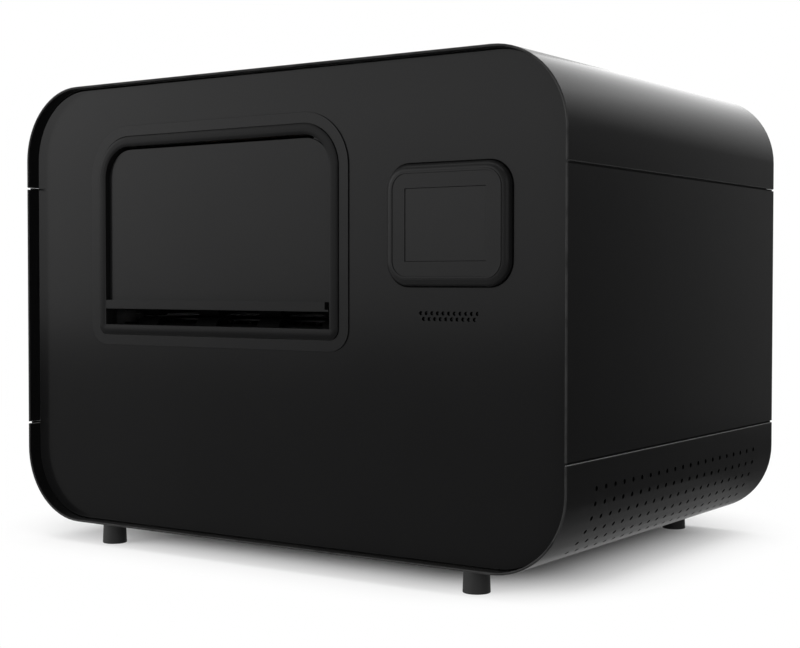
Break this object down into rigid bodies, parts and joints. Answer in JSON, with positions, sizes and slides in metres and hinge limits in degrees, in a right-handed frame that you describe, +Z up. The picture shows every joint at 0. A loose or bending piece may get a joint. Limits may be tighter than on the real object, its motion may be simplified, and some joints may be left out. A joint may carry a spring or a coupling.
{
  "type": "braille embosser",
  "caption": "Desktop braille embosser: charcoal sheet-metal casing with rounded bends, hinged top cover, swing-up exit flap over a paper slot, screen, perforated tray, embossing drums inside.",
  "frame": {"origin": "on the table, under the middle of the casing", "axes": "+X to the right seen from the front, +Y to the back, +Z up; the front faces -Y"},
  "size_m": [0.7, 0.508, 0.512],
  "materials": {
    "casing_coat": "charcoal powder coat, satin",
    "bezel_plastic": "moulded, fine grain",
    "flap_coat": "charcoal powder coat, satin",
    "display_plastic": "moulded, fine grain",
    "screen": "matt screen glass, switched off",
    "rubber": "matt black",
    "zinc_steel": "zinc plated",
    "bright_steel": "ground",
    "black_steel": "black oxide",
    "cast_aluminium": "machined plate",
    "gear_brass": "machined",
    "motor_coat": "dark enamel",
    "solenoid_bank": "varnished coils on a bar",
    "black_plastic": "moulded",
    "grey_plastic": "moulded",
    "board": "circuit board",
    "inner_coat": "charcoal primer"
  },
  "bodies": {
    "casing": {"bottom_tray": "casing_coat", "left_side_panel": "casing_coat", "right_side_panel": "casing_coat", "cover_hinge_brackets": "zinc_steel", "cover_hinge_pins": "bright_steel", "cover_bumpers": "rubber", "front_panel": "casing_coat", "rear_panel": "casing_coat", "port_plate": "zinc_steel", "frame_angles": "zinc_steel", "seam_rails": "zinc_steel", "base_plate": "zinc_steel", "rubber_feet": "rubber", "machine_screws": "zinc_steel", "window_bezel": "bezel_plastic", "display_housing": "display_plastic", "display_glass": "screen", "display_module": "board", "speaker": "black_plastic", "left_side_plate": "cast_aluminium", "right_side_plate": "cast_aluminium", "tie_bars": "bright_steel", "drum_bearings": "bright_steel", "drive_motor": "motor_coat", "motor_bracket": "zinc_steel", "drive_belt": "rubber", "upper_selector_bank": "solenoid_bank", "lower_selector_bank": "solenoid_bank", "paper_guides": "black_steel", "tractor_rod": "bright_steel", "tractor_bodies": "black_plastic", "tractor_belts": "rubber", "feed_motor": "motor_coat", "feed_belt": "rubber", "power_supply": "zinc_steel", "control_board": "board", "data_ports": "bright_steel", "fan_housing": "black_plastic", "mains_inlet": "black_plastic", "paper_entry_bezel": "bezel_plastic"},
    "cover": {"top_cover": "casing_coat", "cover_ribs": "inner_coat", "cover_rest_tabs": "inner_coat", "cover_hinge_leaves": "zinc_steel"},
    "flap": {"exit_flap": "flap_coat", "flap_pivot_pins": "bright_steel"},
    "lower_drum_set": {"lower_drum": "bright_steel", "lower_drum_gear": "gear_brass", "drum_pulley": "cast_aluminium"},
    "upper_drum_set": {"upper_drum": "bright_steel", "upper_drum_gear": "gear_brass"},
    "motor_rotor": {"motor_pulley": "cast_aluminium"},
    "feed_set": {"tractor_shaft": "bright_steel"},
    "exit_set": {"exit_shaft": "black_steel", "exit_rollers": "rubber"},
    "pinch_set": {"pinch_roller": "black_plastic"},
    "left_door": {"left_tractor_door": "grey_plastic"},
    "right_door": {"right_tractor_door": "grey_plastic"},
    "fan": {"fan_rotor": "black_plastic"},
    "rocker": {"power_switch": "grey_plastic"}
  },
  "joints": [
    {"name": "cover_hinge", "type": "hinge", "parent": "casing", "child": "cover", "pos_m": [0, 0.246, 0.5], "axis": [-1, 0, 0], "range_deg": [0, 100]},
    {"name": "flap_hinge", "type": "hinge", "parent": "casing", "child": "flap", "pos_m": [-0.08, -0.2315, 0.406], "axis": [-1, 0, 0], "range_deg": [0, 80]},
    {"name": "lower_drum_spin", "type": "hinge", "parent": "casing", "child": "lower_drum_set", "pos_m": [0, -0.04, 0.21475], "axis": [1, 0, 0], "continuous": true},
    {"name": "upper_drum_spin", "type": "hinge", "parent": "casing", "child": "upper_drum_set", "pos_m": [0, -0.04, 0.29675], "axis": [1, 0, 0], "continuous": true},
    {"name": "motor_spin", "type": "hinge", "parent": "casing", "child": "motor_rotor", "pos_m": [0, 0.08, 0.0875], "axis": [1, 0, 0], "continuous": true},
    {"name": "feed_spin", "type": "hinge", "parent": "casing", "child": "feed_set", "pos_m": [0, 0.095, 0.24175], "axis": [1, 0, 0], "continuous": true},
    {"name": "exit_spin", "type": "hinge", "parent": "casing", "child": "exit_set", "pos_m": [0, -0.19, 0.24325], "axis": [1, 0, 0], "continuous": true},
    {"name": "pinch_spin", "type": "hinge", "parent": "casing", "child": "pinch_set", "pos_m": [0, -0.19, 0.26525], "axis": [1, 0, 0], "continuous": true},
    {"name": "left_door_hinge", "type": "hinge", "parent": "casing", "child": "left_door", "pos_m": [-0.2368, 0.12, 0.25735], "axis": [0, -1, 0], "range_deg": [0, 105]},
    {"name": "right_door_hinge", "type": "hinge", "parent": "casing", "child": "right_door", "pos_m": [0.0768, 0.12, 0.25735], "axis": [0, 1, 0], "range_deg": [0, 105]},
    {"name": "fan_spin", "type": "hinge", "parent": "casing", "child": "fan", "pos_m": [0.23, 0.224, 0.125], "axis": [0, 1, 0], "continuous": true},
    {"name": "power_rocker", "type": "hinge", "parent": "casing", "child": "rocker", "pos_m": [0.139, 0.239, 0.13], "axis": [1, 0, 0], "range_deg": [0, 18]}
  ],
  "couplings": [
    {"joint": "upper_drum_spin", "follows": "lower_drum_spin", "ratio": -1},
    {"joint": "motor_spin", "follows": "lower_drum_spin", "ratio": 3},
    {"joint": "exit_spin", "follows": "feed_spin", "ratio": 1},
    {"joint": "pinch_spin", "follows": "feed_spin", "ratio": -1.3333}
  ]
}
